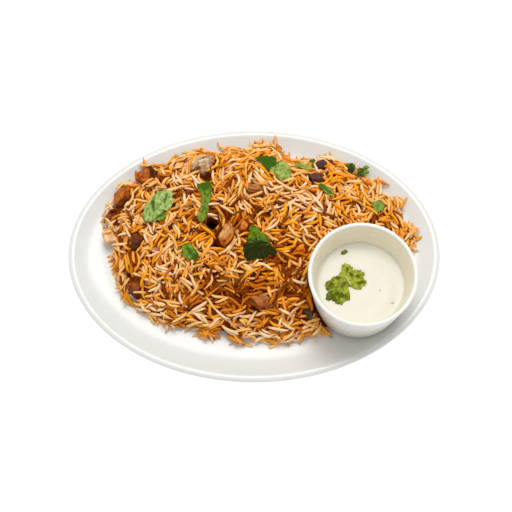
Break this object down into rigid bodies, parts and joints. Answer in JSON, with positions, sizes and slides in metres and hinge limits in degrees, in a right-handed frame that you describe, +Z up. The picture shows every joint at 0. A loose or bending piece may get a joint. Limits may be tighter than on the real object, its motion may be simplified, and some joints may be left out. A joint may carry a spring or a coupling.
{
  "type": "plate of chicken biryani with raita",
  "caption": "Oval white plate heaped with orange long-grain rice, chicken and coriander leaves, with a round white pot of raita standing at its front right.",
  "frame": {"origin": "middle of the plate's foot, on the surface that the plate stands on", "axes": "+Z up, +X along the plate's long axis towards the side with the pot, +Y to the side away from the pot"},
  "size_m": [0.305, 0.2194, 0.072],
  "materials": {
    "white_glaze": "glossy white glaze",
    "raita": "smooth, moist",
    "rice": "moist cooked grains",
    "chicken": "roasted, slightly oily",
    "coriander": "matt leaf",
    "whole_spice": "dark, slightly oily"
  },
  "bodies": {
    "root": {"plate": "white_glaze", "dip_pot": "white_glaze", "raita": "raita", "raita_leaf": "coriander", "rice_heap": "rice", "chicken_back": "chicken", "chicken_back_left": "chicken", "chicken_oval": "chicken", "chicken_edge_dark": "chicken", "chicken_edge_pale": "chicken", "chicken_left": "chicken", "chicken_front_left": "chicken", "chicken_top": "chicken", "chicken_middle": "chicken", "chicken_beside_leaf": "chicken", "chicken_right": "chicken", "chicken_front": "chicken", "spice_back": "whole_spice", "spice_middle": "whole_spice", "spice_by_pot": "whole_spice", "leaf_left": "coriander", "leaf_long": "coriander", "leaf_top": "coriander", "leaf_big": "coriander", "leaf_small": "coriander", "leaf_right": "coriander", "leaf_sprig": "coriander", "leaf_curl": "coriander", "leaf_slim_back": "coriander", "leaf_slim_right": "coriander"}
  },
  "joints": []
}
